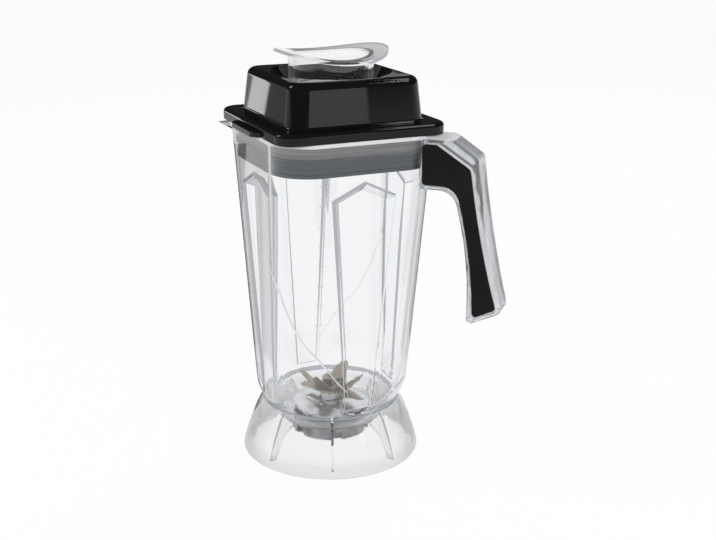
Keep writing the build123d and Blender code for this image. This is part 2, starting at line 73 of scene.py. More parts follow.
def addMath(nodes, links, operation, first, second, x=0, y=0):
    node = addNode(nodes, "ShaderNodeMath", x, y, operation=operation)
    for socket, value in zip(node.inputs, (first, second)):
        if isinstance(value, (int, float)):
            socket.default_value = value
        else:
            links.new(value, socket)
    return node.outputs[0]


def addRamp(nodes, links, source, stops, x=0, y=0):
    ramp = addNode(nodes, "ShaderNodeValToRGB", x, y)
    elements = ramp.color_ramp.elements
    while len(elements) < len(stops):
        elements.new(0.5)
    for element, (place, colour) in zip(elements, stops):
        element.position = place
        element.color = (*colour, 1.0) if len(colour) == 3 else colour
    links.new(source, ramp.inputs["Fac"])
    return ramp


def grey(value):
    return (value, value, value)


def greyStops(*stops):
    return [(place, grey(value)) for place, value in stops]


colourA, colourB, mixedColour = 6, 7, 2        # sockets of a Mix node that mixes colours


# Shader groups that several finishes share

def makeGrainGroup():
    group = bpy.data.node_groups.new("mouldGrain", "ShaderNodeTree")
    face = group.interface
    scale = face.new_socket("Grains per metre", in_out="INPUT", socket_type="NodeSocketFloat")
    scale.default_value = 2500.0
    waves = face.new_socket("Waves per metre", in_out="INPUT", socket_type="NodeSocketFloat")
    waves.default_value = 45.0
    face.new_socket("Grain", in_out="OUTPUT", socket_type="NodeSocketFloat")
    face.new_socket("Waves", in_out="OUTPUT", socket_type="NodeSocketFloat")
    nodes, links = group.nodes, group.links
    entry = addNode(nodes, "NodeGroupInput", -600)
    leave = addNode(nodes, "NodeGroupOutput", 400)
    coords = addNode(nodes, "ShaderNodeTexCoord", -600, 250)
    layers = (("Grains per metre", "Grain", 3.0), ("Waves per metre", "Waves", 1.0))
    for row, (inlet, outlet, detail) in enumerate(layers):
        noise = addNode(nodes, "ShaderNodeTexNoise", 0, -300 * row)
        noise.inputs["Detail"].default_value = detail
        links.new(coords.outputs["Object"], noise.inputs["Vector"])
        links.new(entry.outputs[inlet], noise.inputs["Scale"])
        links.new(noise.outputs["Fac"], leave.inputs[outlet])
    return group


handlingMarks = {
    "perMetre": 28.0,
    "detail": 6.0,
    "softness": 0.6,
    "middle": 0.45,             # noise level that leaves the polish as it is
    "least": 0.01,              # smoothest roughness
}


def makeHandlingGroup(spec):
    group = bpy.data.node_groups.new("handlingMarks", "ShaderNodeTree")
    face = group.interface
    base = face.new_socket("Polish", in_out="INPUT", socket_type="NodeSocketFloat")
    base.default_value = 0.1
    spread = face.new_socket("Spread", in_out="INPUT", socket_type="NodeSocketFloat")
    spread.default_value = 0.05
    face.new_socket("Roughness", in_out="OUTPUT", socket_type="NodeSocketFloat")
    nodes, links = group.nodes, group.links
    entry = addNode(nodes, "NodeGroupInput", -600)
    leave = addNode(nodes, "NodeGroupOutput", 600)
    coords = addNode(nodes, "ShaderNodeTexCoord", -600, 250)
    smudge = addNode(nodes, "ShaderNodeTexNoise", -300, 250)
    smudge.inputs["Scale"].default_value = spec["perMetre"]
    smudge.inputs["Detail"].default_value = spec["detail"]
    smudge.inputs["Roughness"].default_value = spec["softness"]
    links.new(coords.outputs["Object"], smudge.inputs["Vector"])
    centred = addMath(nodes, links, "SUBTRACT", smudge.outputs["Fac"], spec["middle"], 0, 250)
    scaled = addMath(nodes, links, "MULTIPLY", centred, entry.outputs["Spread"], 180, 250)
    total = addMath(nodes, links, "ADD", entry.outputs["Polish"], scaled, 360, 100)
    kept = addMath(nodes, links, "MAXIMUM", total, spec["least"], 480, 100)
    links.new(kept, leave.inputs["Roughness"])
    return group


grainGroup = makeGrainGroup()
handlingGroup = makeHandlingGroup(handlingMarks)


def placeGroup(nodes, group, x, y, values):
    node = addNode(nodes, "ShaderNodeGroup", x, y, node_tree=group)
    for name, value in values.items():
        node.inputs[name].default_value = value
    return node


def placeGrain(nodes, x, y, grains, waves):
    values = {"Grains per metre": grains, "Waves per metre": waves}
    return placeGroup(nodes, grainGroup, x, y, values)


def placeMarks(nodes, x, y, spec):
    values = {"Polish": spec["roughness"], "Spread": spec["smudge"]}
    return placeGroup(nodes, handlingGroup, x, y, values)


# Clear moulding: polished plastic with painted shade where one looks along the wall, and a painted
# grey glow where a ray stays caught in it

def addZone(nodes, links, source, spec, x, y):
    zone = addNode(nodes, "ShaderNodeMapRange", x, y, interpolation_type="SMOOTHSTEP")
    zone.inputs["From Min"].default_value = spec["start"]
    zone.inputs["From Max"].default_value = spec["full"]
    links.new(source.outputs[spec["axis"]], zone.inputs["Value"])
    return zone.outputs["Result"]


def addStreaks(nodes, links, coords, shade, spec, x, y):
    stretch = addNode(nodes, "ShaderNodeMapping", x - 400, y)
    stretch.inputs["Scale"].default_value = spec["perMetre"]
    links.new(coords.outputs["Object"], stretch.inputs["Vector"])
    noise = addNode(nodes, "ShaderNodeTexNoise", x - 200, y)
    noise.inputs["Scale"].default_value = 1.0
    noise.inputs["Detail"].default_value = 4.0
    links.new(stretch.outputs["Vector"], noise.inputs["Vector"])
    darkBelow, clearAbove = 0.35, 0.62
    stops = greyStops((darkBelow, spec["dark"]), (clearAbove, 1.0))
    ramp = addRamp(nodes, links, noise.outputs["Fac"], stops, x, y)
    both = addNode(nodes, "ShaderNodeMix", x + 300, y, data_type="RGBA", blend_type="MULTIPLY")
    both.inputs[0].default_value = 1.0
    links.new(shade, both.inputs[colourA])
    links.new(ramp.outputs["Color"], both.inputs[colourB])
    return both.outputs[mixedColour]


def makeClearPlastic(name, spec):
    material, nodes, links = newMaterial(name)
    out = addNode(nodes, "ShaderNodeOutputMaterial", 1300)
    shader = addNode(nodes, "ShaderNodeBsdfPrincipled", 700)
    shader.inputs["Transmission Weight"].default_value = 1.0
    shader.inputs["IOR"].default_value = spec["ior"]
    # painted shade: the colour darkens where one looks along the wall, in place of the dark edges
    # that clear plastic shows
    facing = addNode(nodes, "ShaderNodeLayerWeight", -600, 300)
    facing.inputs["Blend"].default_value = spec["edgeBlend"]
    edgeShade = addRamp(nodes, links, facing.outputs["Facing"], spec["edgeShadeStops"], -300, 300)
    colour = edgeShade.outputs["Color"]
    coords = addNode(nodes, "ShaderNodeTexCoord", -1000, -100)
    split = addNode(nodes, "ShaderNodeSeparateXYZ", -800, -100)
    links.new(coords.outputs["Object"], split.inputs[0])
    marks = placeMarks(nodes, -300, -100, spec)
    roughness = marks.outputs["Roughness"]
    milk, swell = 0.0, 0.0
    # painted glow: a ray that stays caught in the wall shows a grey light instead of what lies
    # beyond
    glow = addNode(nodes, "ShaderNodeEmission", 750, 200)
    glow.inputs["Color"].default_value = (*spec["deepGlowColour"], 1.0)
    for row, haze in enumerate(spec["hazes"]):
        zone = addZone(nodes, links, split, haze, -600, -150 - 300 * row)
        extra = addMath(nodes, links, "MULTIPLY", zone, haze["roughness"], -100, -300 - 200 * row)
        roughness = addMath(nodes, links, "ADD", roughness, extra, 100 + 150 * row, -150)
        cloud = addMath(nodes, links, "MULTIPLY", zone, haze["milk"], 100, 700 + 200 * row)
        milk = addMath(nodes, links, "MAXIMUM", cloud, milk, 300 + 150 * row, 700)
        ripple = addMath(nodes, links, "MULTIPLY", zone, haze["ripple"], 100, -800 - 200 * row)
        swell = addMath(nodes, links, "ADD", ripple, swell, 300 + 150 * row, -800)
        # painted glow: a haze can make this glow paler
        if "deepGlowColour" in haze:
            paler = addNode(nodes, "ShaderNodeMix", 500, 1000, data_type="RGBA")
            paler.inputs[colourA].default_value = (*spec["deepGlowColour"], 1.0)
            paler.inputs[colourB].default_value = (*haze["deepGlowColour"], 1.0)
            links.new(zone, paler.inputs[0])
            links.new(paler.outputs[mixedColour], glow.inputs["Color"])
        # painted shade where one looks along the wall in this haze
        darker = addRamp(
            nodes, links, facing.outputs["Facing"], haze["edgeShadeStops"], -300, 600 + 300 * row,
        )
        shade = darker.outputs["Color"]
        if "streaks" in haze:
            shade = addStreaks(nodes, links, coords, shade, haze["streaks"], -300, 1600)
        blend = addNode(nodes, "ShaderNodeMix", 100 + 200 * row, 300, data_type="RGBA")
        links.new(zone, blend.inputs[0])
        links.new(colour, blend.inputs[colourA])
        links.new(shade, blend.inputs[colourB])
        colour = blend.outputs[mixedColour]
    links.new(colour, shader.inputs["Base Color"])
    links.new(roughness, shader.inputs["Roughness"])
    grain = placeGrain(nodes, 100, -500, spec["ripples"], spec["waves"])
    bump = addNode(nodes, "ShaderNodeBump", 400, -500)
    bump.inputs["Strength"].default_value = spec["waviness"]
    bump.inputs["Distance"].default_value = spec["waveHeight"]
    swollen = addMath(nodes, links, "MULTIPLY", grain.outputs["Grain"], swell, 250, -600)
    height = addMath(nodes, links, "ADD", grain.outputs["Waves"], swollen, 300, -600)
    links.new(height, bump.inputs["Height"])
    links.new(bump.outputs["Normal"], shader.inputs["Normal"])
    path = addNode(nodes, "ShaderNodeLightPath", 500, 500)
    rays, mirrored = path.outputs["Ray Depth"], path.outputs["Glossy Depth"]
    long = addMath(nodes, links, "GREATER_THAN", rays, spec["raysAfter"], 700, 600)
    caught = addMath(nodes, links, "GREATER_THAN", mirrored, spec["mirroredAfter"], 700, 400)
    deep = addMath(nodes, links, "MAXIMUM", long, caught, 850, 500)
    veil = addNode(nodes, "ShaderNodeBsdfDiffuse", 750, -150)
    veil.inputs["Color"].default_value = (*spec["milkColour"], 1.0)
    veiled = addNode(nodes, "ShaderNodeMixShader", 950)
    if spec["hazes"]:
        links.new(milk, veiled.inputs[0])
    else:
        veiled.inputs[0].default_value = milk
    links.new(shader.outputs["BSDF"], veiled.inputs[1])
    links.new(veil.outputs[0], veiled.inputs[2])
    ended = addNode(nodes, "ShaderNodeMixShader", 1050)
    links.new(deep, ended.inputs[0])
    links.new(veiled.outputs[0], ended.inputs[1])
    links.new(glow.outputs[0], ended.inputs[2])
    links.new(ended.outputs[0], out.inputs["Surface"])
    absorb = addNode(nodes, "ShaderNodeVolumeAbsorption", 1050, -300)
    absorb.inputs["Color"].default_value = (*spec["bodyTint"], 1.0)
    absorb.inputs["Density"].default_value = spec["density"]
    links.new(absorb.outputs["Volume"], out.inputs["Volume"])
    return material


# Places where the plastic is hazier, each along one axis in metres; each one's edge ramp paints
# shade where one looks along the wall
frostedHandle = {
    "axis": "X", "start": 0.074, "full": 0.086,
    "roughness": 0.20, "milk": 0.12, "ripple": 0.0,
    # painted glow, paler in the handle
    "deepGlowColour": (0.96, 0.965, 0.98),
    "edgeShadeStops": greyStops((0.0, 1.0), (0.40, 0.985), (0.70, 0.90), (1.0, 0.75)),
    "streaks": {"perMetre": (260.0, 260.0, 14.0), "dark": 0.64},
}
milkyFoot = {
    "axis": "Z", "start": 0.046, "full": 0.034,
    "roughness": 0.05, "milk": 0.03, "ripple": 0.0,
    "edgeShadeStops": greyStops(
        (0.0, 1.0), (0.11, 0.985), (0.26, 0.93), (0.46, 0.56), (0.70, 0.26), (1.0, 0.08),
    ),
}
# darker towards the bottom of the foot, with painted shade at its edges
greyFootRim = {
    "axis": "Z", "start": 0.016, "full": 0.003,
    "roughness": 0.05, "milk": 0.10, "ripple": 0.0,
    "edgeShadeStops": greyStops((0.0, 0.85), (0.28, 0.80), (0.46, 0.55), (1.0, 0.24)),
}
frostedRim = {
    "axis": "Z", "start": 0.2725, "full": 0.2735,
    "roughness": 0.15, "milk": 0.55, "ripple": 0.0,
    "edgeShadeStops": greyStops((0.0, 1.0), (0.40, 0.98), (0.70, 0.92), (1.0, 0.85)),
}
hazyBowl = {
    "axis": "Z", "start": 0.092, "full": 0.078,
    "roughness": 0.02, "milk": 0.0, "ripple": 30.0,
    "edgeShadeStops": greyStops((0.0, 1.0), (0.40, 0.985), (0.62, 0.82), (1.0, 0.50)),
}
jarPlastic = {
    "ior": 1.5,
    "edgeBlend": 0.4,
    # painted shade: the colour darkens towards the grazing edges
    "edgeShadeStops": greyStops((0.0, 1.0), (0.50, 0.97), (0.57, 0.52), (0.75, 0.24), (1.0, 0.06)),
    "roughness": 0.015,
    "smudge": 0.02,
    "waves": 30.0,                      # per metre
    "ripples": 110.0,                   # per metre, where a haze asks for them
    "waviness": 0.02,
    "waveHeight": 0.0006,
    "bodyTint": (0.80, 0.82, 0.85),
    "density": 50.0,
    "hazes": [frostedHandle, hazyBowl, milkyFoot, greyFootRim, frostedRim],
    "milkColour": (0.90, 0.905, 0.915),
    "raysAfter": 8.5,                   # a ray that is still caught in the wall by then ends
    "mirroredAfter": 1.5,               # and so does one that was mirrored in it more often
    "deepGlowColour": (0.52, 0.525, 0.54),  # painted grey glow that such a ray shows in place of the light it would bring
}
# the cup and the beads have their own ramps of painted edge shade
cupPlastic = dict(
    jarPlastic, density=45.0, hazes=[],
    edgeShadeStops=greyStops((0.0, 1.0), (0.35, 0.95), (0.60, 0.76), (1.0, 0.46)),
)
beadPlastic = dict(
    jarPlastic, density=110.0, hazes=[],
    edgeShadeStops=greyStops((0.0, 0.98), (0.40, 0.93), (0.70, 0.78), (1.0, 0.58)),
)
clearJar = makeClearPlastic("clearJarPlastic", jarPlastic)
clearBead = makeClearPlastic("clearBeadPlastic", beadPlastic)
clearCup = makeClearPlastic("clearCupPlastic", cupPlastic)


# Opaque mouldings: black gloss, black satin, the mottled ring nut and the gaskets

def makeMoulding(name, spec):
    material, nodes, links = newMaterial(name)
    out = addNode(nodes, "ShaderNodeOutputMaterial", 900)
    shader = addNode(nodes, "ShaderNodeBsdfPrincipled", 500)
    shader.inputs["Specular IOR Level"].default_value = spec.get("specular", 0.5)
    grain = placeGrain(nodes, -500, -200, spec["grains"], spec["waves"])
    low, high = spec["colours"]
    colour = addRamp(nodes, links, grain.outputs["Waves"], [(0.3, low), (0.7, high)], -100, 250)
    links.new(colour.outputs["Color"], shader.inputs["Base Color"])
    marks = placeMarks(nodes, 0, 0, spec)
    links.new(marks.outputs["Roughness"], shader.inputs["Roughness"])
    bump = addNode(nodes, "ShaderNodeBump", 250, -300)
    bump.inputs["Strength"].default_value = spec["grainStrength"]
    bump.inputs["Distance"].default_value = spec["grainHeight"]
    links.new(grain.outputs["Grain"], bump.inputs["Height"])
    links.new(bump.outputs["Normal"], shader.inputs["Normal"])
    links.new(shader.outputs["BSDF"], out.inputs["Surface"])
    return material


lidBlack = makeMoulding("lidBlackGloss", {
    "colours": (grey(0.004), grey(0.006)), "roughness": 0.02, "smudge": 0.02, "specular": 0.22,
    "grains": 1200.0, "waves": 14.0, "grainStrength": 0.008, "grainHeight": 0.0002,
})
inlayBlack = makeMoulding("inlayBlackSatin", {
    "colours": (grey(0.005), grey(0.008)), "roughness": 0.45, "smudge": 0.08, "specular": 0.12,
    "grains": 3200.0, "waves": 30.0, "grainStrength": 0.22, "grainHeight": 0.0003,
})
nutGrey = makeMoulding("ringNutGrey", {
    "colours": ((0.13, 0.133, 0.145), (0.62, 0.625, 0.64)), "roughness": 0.30, "smudge": 0.1,
    "grains": 2400.0, "waves": 105.0, "grainStrength": 0.15, "grainHeight": 0.0002,
})
gasketBlack = makeMoulding("gasketBlack", {
    "colours": (grey(0.05), grey(0.07)), "roughness": 0.6, "smudge": 0.1,
    "grains": 3000.0, "waves": 80.0, "grainStrength": 0.2, "grainHeight": 0.0002,
})


# Rubber seal: pale above, slate below

sealRubber = {
    "upper": (0.36, 0.365, 0.375),
    "lower": (0.052, 0.072, 0.100),
    "split": 0.55,              # share of the height that is slate
    "soft": 0.05,
    "roughness": 0.5,
    "smudge": 0.1,
    "streaks": 0.22,            # how far the streaks move the split
    "streakStretch": (12.0, 12.0, 320.0),
    # darker streaks stretched round the seal
    "darkStreaks": {"perMetre": (9.0, 9.0, 900.0), "dark": 0.55},
    "grains": 2600.0,
    "grainStrength": 0.15,
    "grainHeight": 0.0002,
}


def makeSealRubber(spec):
    material, nodes, links = newMaterial("sealRubberGrey")
    low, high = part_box("lid_seal")
    out = addNode(nodes, "ShaderNodeOutputMaterial", 900)
    shader = addNode(nodes, "ShaderNodeBsdfPrincipled", 600)
    coords = addNode(nodes, "ShaderNodeTexCoord", -700)
    split = addNode(nodes, "ShaderNodeSeparateXYZ", -500)
    links.new(coords.outputs["Object"], split.inputs[0])
    height = addNode(nodes, "ShaderNodeMapRange", -300)
    height.inputs["From Min"].default_value = low.z
    height.inputs["From Max"].default_value = high.z
    links.new(split.outputs["Z"], height.inputs["Value"])
    stretch = addNode(nodes, "ShaderNodeMapping", -500, 350)
    stretch.inputs["Scale"].default_value = spec["streakStretch"]
    links.new(coords.outputs["Object"], stretch.inputs["Vector"])
    streaks = addNode(nodes, "ShaderNodeTexNoise", -300, 350)
    streaks.inputs["Scale"].default_value = 1.0
    streaks.inputs["Detail"].default_value = 3.0
    links.new(stretch.outputs["Vector"], streaks.inputs["Vector"])
    centred = addMath(nodes, links, "SUBTRACT", streaks.outputs["Fac"], 0.5, -100, 350)
    shift = addMath(nodes, links, "MULTIPLY", centred, spec["streaks"], 0, 350)
    streaked = addMath(nodes, links, "ADD", height.outputs["Result"], shift, 100, 250)
    slateBelow, paleAbove = spec["split"] - spec["soft"], spec["split"] + spec["soft"]
    stops = [(slateBelow, spec["lower"]), (paleAbove, spec["upper"])]
    colour = addRamp(nodes, links, streaked, stops, 250, 100)
    darkStreaked = addStreaks(nodes, links, coords, colour.outputs["Color"], spec["darkStreaks"], 250, 700)
    links.new(darkStreaked, shader.inputs["Base Color"])
    marks = placeMarks(nodes, 100, -200, spec)
    links.new(marks.outputs["Roughness"], shader.inputs["Roughness"])
    grain = placeGroup(nodes, grainGroup, -100, -400, {"Grains per metre": spec["grains"]})
    bump = addNode(nodes, "ShaderNodeBump", 300, -400)
    bump.inputs["Strength"].default_value = spec["grainStrength"]
    bump.inputs["Distance"].default_value = spec["grainHeight"]
    links.new(grain.outputs["Grain"], bump.inputs["Height"])
    links.new(bump.outputs["Normal"], shader.inputs["Normal"])
    links.new(shader.outputs["BSDF"], out.inputs["Surface"])
    return material


sealGrey = makeSealRubber(sealRubber)


# Steels: turned grooves about the axis, or brushed along the blade

def makeSteel(name, spec):
    material, nodes, links = newMaterial(name)
    out = addNode(nodes, "ShaderNodeOutputMaterial", 900)
    shader = addNode(nodes, "ShaderNodeBsdfPrincipled", 600)
    shader.inputs["Metallic"].default_value = 1.0
    coords = addNode(nodes, "ShaderNodeTexCoord", -700)
    stretch = addNode(nodes, "ShaderNodeMapping", -500)
    stretch.inputs["Scale"].default_value = spec["stretch"]
    links.new(coords.outputs["Object"], stretch.inputs["Vector"])
    lines = addNode(nodes, "ShaderNodeTexNoise", -300)
    lines.inputs["Scale"].default_value = spec["linesPerMetre"]
    lines.inputs["Detail"].default_value = 4.0
    links.new(stretch.outputs["Vector"], lines.inputs["Vector"])
    low, high = spec["colours"]
    colour = addRamp(nodes, links, lines.outputs["Fac"], [(0.3, low), (0.7, high)], 0, 200)
    links.new(colour.outputs["Color"], shader.inputs["Base Color"])
    marks = placeMarks(nodes, 0, -100, spec)
    links.new(marks.outputs["Roughness"], shader.inputs["Roughness"])
    bump = addNode(nodes, "ShaderNodeBump", 300, -300)
    bump.inputs["Strength"].default_value = spec["lineStrength"]
    bump.inputs["Distance"].default_value = spec["lineHeight"]
    links.new(lines.outputs["Fac"], bump.inputs["Height"])
    links.new(bump.outputs["Normal"], shader.inputs["Normal"])
    links.new(shader.outputs["BSDF"], out.inputs["Surface"])
    return material


bladeSteel = makeSteel("bladeSteelWarm", {
    "colours": ((0.34, 0.305, 0.245), (0.46, 0.415, 0.34)), "roughness": 0.36, "smudge": 0.12,
    "stretch": (1.0, 1.0, 6.0), "linesPerMetre": 900.0, "lineStrength": 0.15, "lineHeight": 0.0001,
})
housingSteel = makeSteel("housingSteelTurned", {
    "colours": ((0.72, 0.72, 0.74), (0.84, 0.84, 0.86)), "roughness": 0.28, "smudge": 0.1,
    "stretch": (1.0, 1.0, 8.0), "linesPerMetre": 700.0, "lineStrength": 0.1, "lineHeight": 0.0001,
})
bearingSteel = makeSteel("bearingSteelGround", {
    "colours": ((0.60, 0.60, 0.62), (0.70, 0.70, 0.72)), "roughness": 0.18, "smudge": 0.06,
    "stretch": (1.0, 1.0, 8.0), "linesPerMetre": 1200.0, "lineStrength": 0.06, "lineHeight": 0.0001,
})
print("stage 2: finishes ready")


# Merged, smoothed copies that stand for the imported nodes

smoothing = {
    "mergeDistance": 0.00001,
    "flatAngle": math.radians(0.05),
    "sharpAngle": math.radians(32),
}
jarWall = {
    "node": "jar_body",
    "lowZ": 84.0 * mm, "highZ": 276.0 * mm,
    "lowHalf": 59.25 * mm, "highHalf": 68.75 * mm,
    "lowCorner": 41.0 * mm, "highCorner": 32.0 * mm,
    "wall": 4.0 * mm,
    "reach": 0.3 * mm,          # how near to the wall a face has to lie
    "sameWay": 0.99,            # least cosine between a face and the wall's rule
}


def wallAt(place, spec):
    share = (place.z - spec["lowZ"]) / (spec["highZ"] - spec["lowZ"])
    half = spec["lowHalf"] + (spec["highHalf"] - spec["lowHalf"]) * share
    corner = spec["lowCorner"] + (spec["highCorner"] - spec["lowCorner"]) * share
    length = spec["highZ"] - spec["lowZ"]
    cornerLean = (spec["highCorner"] - spec["lowCorner"]) / length
    middleLean = (spec["highHalf"] - spec["lowHalf"]) / length - cornerLean
    first, second = (place.x + place.y) / math.sqrt(2), (place.y - place.x) / math.sqrt(2)
    inFirst = max(abs(first) - half + corner, 0.0)
    inSecond = max(abs(second) - half + corner, 0.0)
    size = max(math.hypot(inFirst, inSecond), 1e-9)        # never nought, as it divides
    towardFirst, towardSecond = inFirst / size, inSecond / size
    rise = -(middleLean * (towardFirst + towardSecond) + cornerLean)
    towardFirst = math.copysign(towardFirst, first)
    towardSecond = math.copysign(towardSecond, second)
    acrossX = (towardFirst - towardSecond) / math.sqrt(2)
    acrossY = (towardFirst + towardSecond) / math.sqrt(2)
    return Vector((acrossX, acrossY, rise)).normalized(), size - corner


def setWallNormals(mesh, spec):
    normals = [Vector(corner.vector) for corner in mesh.corner_normals]
    for face in mesh.polygons:
        if not spec["lowZ"] < face.center.z < spec["highZ"]:
            continue
        outward, depth = wallAt(face.center, spec)
        for level, side in ((0.0, 1.0), (-spec["wall"], -1.0)):
            near = abs(depth - level) < spec["reach"]
            if near and face.normal.dot(outward) * side > spec["sameWay"]:
                for loop in face.loop_indices:
                    place = mesh.vertices[mesh.loops[loop].vertex_index].co
                    normals[loop] = wallAt(place, spec)[0] * side
    mesh.normals_split_custom_set(normals)


def smoothCopy(node, material, spec=smoothing):
    source = frame["nodes"][node]
    mesh = source.data.copy()
    mesh.name = node + "_finish"
    form = bmesh.new()
    form.from_mesh(mesh)
    bmesh.ops.remove_doubles(form, verts=form.verts, dist=spec["mergeDistance"])
    if node != jarWall["node"]:
        bmesh.ops.dissolve_limit(
            form, angle_limit=spec["flatAngle"], verts=form.verts, edges=form.edges,
        )
    for face in form.faces:
        face.smooth = True
        face.material_index = 0
    for edge in form.edges:
        edge.smooth = edge.calc_face_angle(0.0) < spec["sharpAngle"]
    form.to_mesh(mesh)
    form.free()
    mesh.materials.clear()
    mesh.materials.append(material)
    piece = bpy.data.objects.new(node + "_finish", mesh)
    bpy.context.scene.collection.objects.link(piece)
    if node == jarWall["node"]:
        setWallNormals(mesh, jarWall)
    else:
        # flat faces stay flat in reflections
        weighted = piece.modifiers.new("normals", "WEIGHTED_NORMAL")
        weighted.mode = "FACE_AREA"
        weighted.keep_sharp = True
        graph = bpy.context.evaluated_depsgraph_get()
        piece.data = bpy.data.meshes.new_from_object(piece.evaluated_get(graph))
        piece.modifiers.clear()
    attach(piece, bodyOfNode[node])
    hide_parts(node)
    return piece


finishOfSlot = {
    "clear_plastic": clearJar,
    "lid_black": lidBlack,
    "seal_grey": sealGrey,
    "inlay_black": inlayBlack,
    "blade_steel": bladeSteel,
    "housing_steel": housingSteel,
    "bearing_steel": bearingSteel,
    "nut_grey": nutGrey,
    "gasket_black": gasketBlack,
}
pieces = {}
for part in record["subparts"]:
    node, slotName = part["node"], part["material_slot"]
    finish = clearCup if node == "measuring_cup" else finishOfSlot[slotName]
    pieces[node] = smoothCopy(node, finish)
print("stage 3: finished copies of", len(pieces), "nodes")


# Moulded lines on the jar, made with geometry nodes and kept as plain meshes

def newGeometryTree(name, sockets):
    tree = bpy.data.node_groups.new(name, "GeometryNodeTree")
    tree.interface.new_socket("Geometry", in_out="INPUT", socket_type="NodeSocketGeometry")
    tree.interface.new_socket("Geometry", in_out="OUTPUT", socket_type="NodeSocketGeometry")
    for label, kind in sockets.items():
        tree.interface.new_socket(label, in_out="INPUT", socket_type="NodeSocket" + kind)
    entry = addNode(tree.nodes, "NodeGroupInput", -800)
    leave = addNode(tree.nodes, "NodeGroupOutput", 800)
    return tree, entry, leave


def endTree(tree, entry, leave, socket):
    real = addNode(tree.nodes, "GeometryNodeRealizeInstances", 400)
    finish = addNode(tree.nodes, "GeometryNodeSetMaterial", 600)
    tree.links.new(socket, real.inputs["Geometry"])
    tree.links.new(real.outputs["Geometry"], finish.inputs["Geometry"])
    tree.links.new(entry.outputs["Finish"], finish.inputs["Material"])
    tree.links.new(finish.outputs["Geometry"], leave.inputs["Geometry"])


def bakePiece(name, mesh, tree, values):
    piece = bpy.data.objects.new(name, mesh)
    bpy.context.scene.collection.objects.link(piece)
    modifier = piece.modifiers.new("nodes", "NODES")
    modifier.node_group = tree
    for item in tree.interface.items_tree:
        if item.in_out == "INPUT" and item.name in values:
            modifier[item.identifier] = values[item.name]
    graph = bpy.context.evaluated_depsgraph_get()
    baked = bpy.data.meshes.new_from_object(piece.evaluated_get(graph))
    piece.modifiers.clear()
    piece.data = baked
    return piece


def makeBeadTree():
    sockets = {"Bead width": "Float", "Finish": "Material"}
    tree, entry, leave = newGeometryTree("mouldedBead", sockets)
    nodes, links = tree.nodes, tree.links
    path = addNode(nodes, "GeometryNodeMeshToCurve", -500)
    ring = addNode(nodes, "GeometryNodeCurvePrimitiveCircle", -300, -200)
    ring.inputs["Resolution"].default_value = 10
    radius = addMath(nodes, links, "MULTIPLY", entry.outputs["Bead width"], 0.5, -500, -200)
    links.new(radius, ring.inputs["Radius"])
    sweep = addNode(nodes, "GeometryNodeCurveToMesh", 0)
    sweep.inputs["Fill Caps"].default_value = True
    smooth = addNode(nodes, "GeometryNodeSetShadeSmooth", 200)
    links.new(entry.outputs["Geometry"], path.inputs["Mesh"])
    links.new(path.outputs["Curve"], sweep.inputs["Curve"])
    links.new(ring.outputs["Curve"], sweep.inputs["Profile Curve"])
    links.new(sweep.outputs["Mesh"], smooth.inputs["Geometry"])
    endTree(tree, entry, leave, smooth.outputs["Geometry"])
    return tree


def makeTickTree():
    sockets = {
        "First": "Vector", "Last": "Vector", "Count": "Int",
        "Size": "Vector", "Turn": "Vector", "Finish": "Material",
    }
    tree, entry, leave = newGeometryTree("scaleTicks", sockets)
    nodes, links = tree.nodes, tree.links
    row = addNode(nodes, "GeometryNodeMeshLine", -500, mode="END_POINTS")
    links.new(entry.outputs["Count"], row.inputs["Count"])
    links.new(entry.outputs["First"], row.inputs["Start Location"])
    links.new(entry.outputs["Last"], row.inputs["Offset"])
    tick = addNode(nodes, "GeometryNodeMeshCube", -500, -300)
    links.new(entry.outputs["Size"], tick.inputs["Size"])
    spread = addNode(nodes, "GeometryNodeInstanceOnPoints", 100)
    links.new(row.outputs["Mesh"], spread.inputs["Points"])
    links.new(tick.outputs["Mesh"], spread.inputs["Instance"])
    links.new(entry.outputs["Turn"], spread.inputs["Rotation"])
    endTree(tree, entry, leave, spread.outputs["Instances"])
    return tree


jarTree = BVHTree.FromPolygons(
    [vertex.co.copy() for vertex in pieces["jar_body"].data.vertices],
    [tuple(face.vertices) for face in pieces["jar_body"].data.polygons],
)


def wallPoint(start, direction):
    place, normal, _, _ = jarTree.ray_cast(Vector(start), Vector(direction))
    return place, normal


flowBead = {
    "path": [                   # degrees round the axis and height in mm
        (-114.9, 180.0), (-104.0, 158.3), (-95.5, 133.6), (-86.4, 113.7),
        (-76.1, 99.4), (-63.4, 79.0), (-56.1, 70.1),
    ],
    "startR": 0.12,             # the rays to the wall start here
    "steps": 12,                # points between two path points
    "width": 1.5 * mm,
    "sunk": 0.25,               # share of the bead inside the wall
    "turns": (0.0, 180.0),
}


def pathPoints(path, steps):
    points = []
    for index in range(len(path) - 1):
        before, here = Vector(path[max(index - 1, 0)]), Vector(path[index])
        there, after = Vector(path[index + 1]), Vector(path[min(index + 2, len(path) - 1)])
        for step in range(steps):
            share = step / steps
            lead, trail = (there - before) * 0.5, (after - here) * 0.5
            bend = (here - there) * 2 + lead + trail
            swing = (there - here) * 3 - lead * 2 - trail
            points.append(here + lead * share + swing * share**2 + bend * share**3)
    return points + [Vector(path[-1])]


def makeFlowBead(name, spec, turn, tree):
    places = []
    for angle, height in pathPoints(spec["path"], spec["steps"]):
        heading = math.radians(angle + turn)
        outward = Vector((math.cos(heading), math.sin(heading), 0.0))
        place, normal = wallPoint(outward * spec["startR"] + Vector((0, 0, height * mm)), -outward)
        places.append(place + normal * spec["width"] * (0.5 - spec["sunk"]))
    mesh = bpy.data.meshes.new(name)
    mesh.from_pydata(places, [(index, index + 1) for index in range(len(places) - 1)], [])
    bead = bakePiece(name, mesh, tree, {"Bead width": spec["width"], "Finish": clearBead})
    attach(bead, "jar")


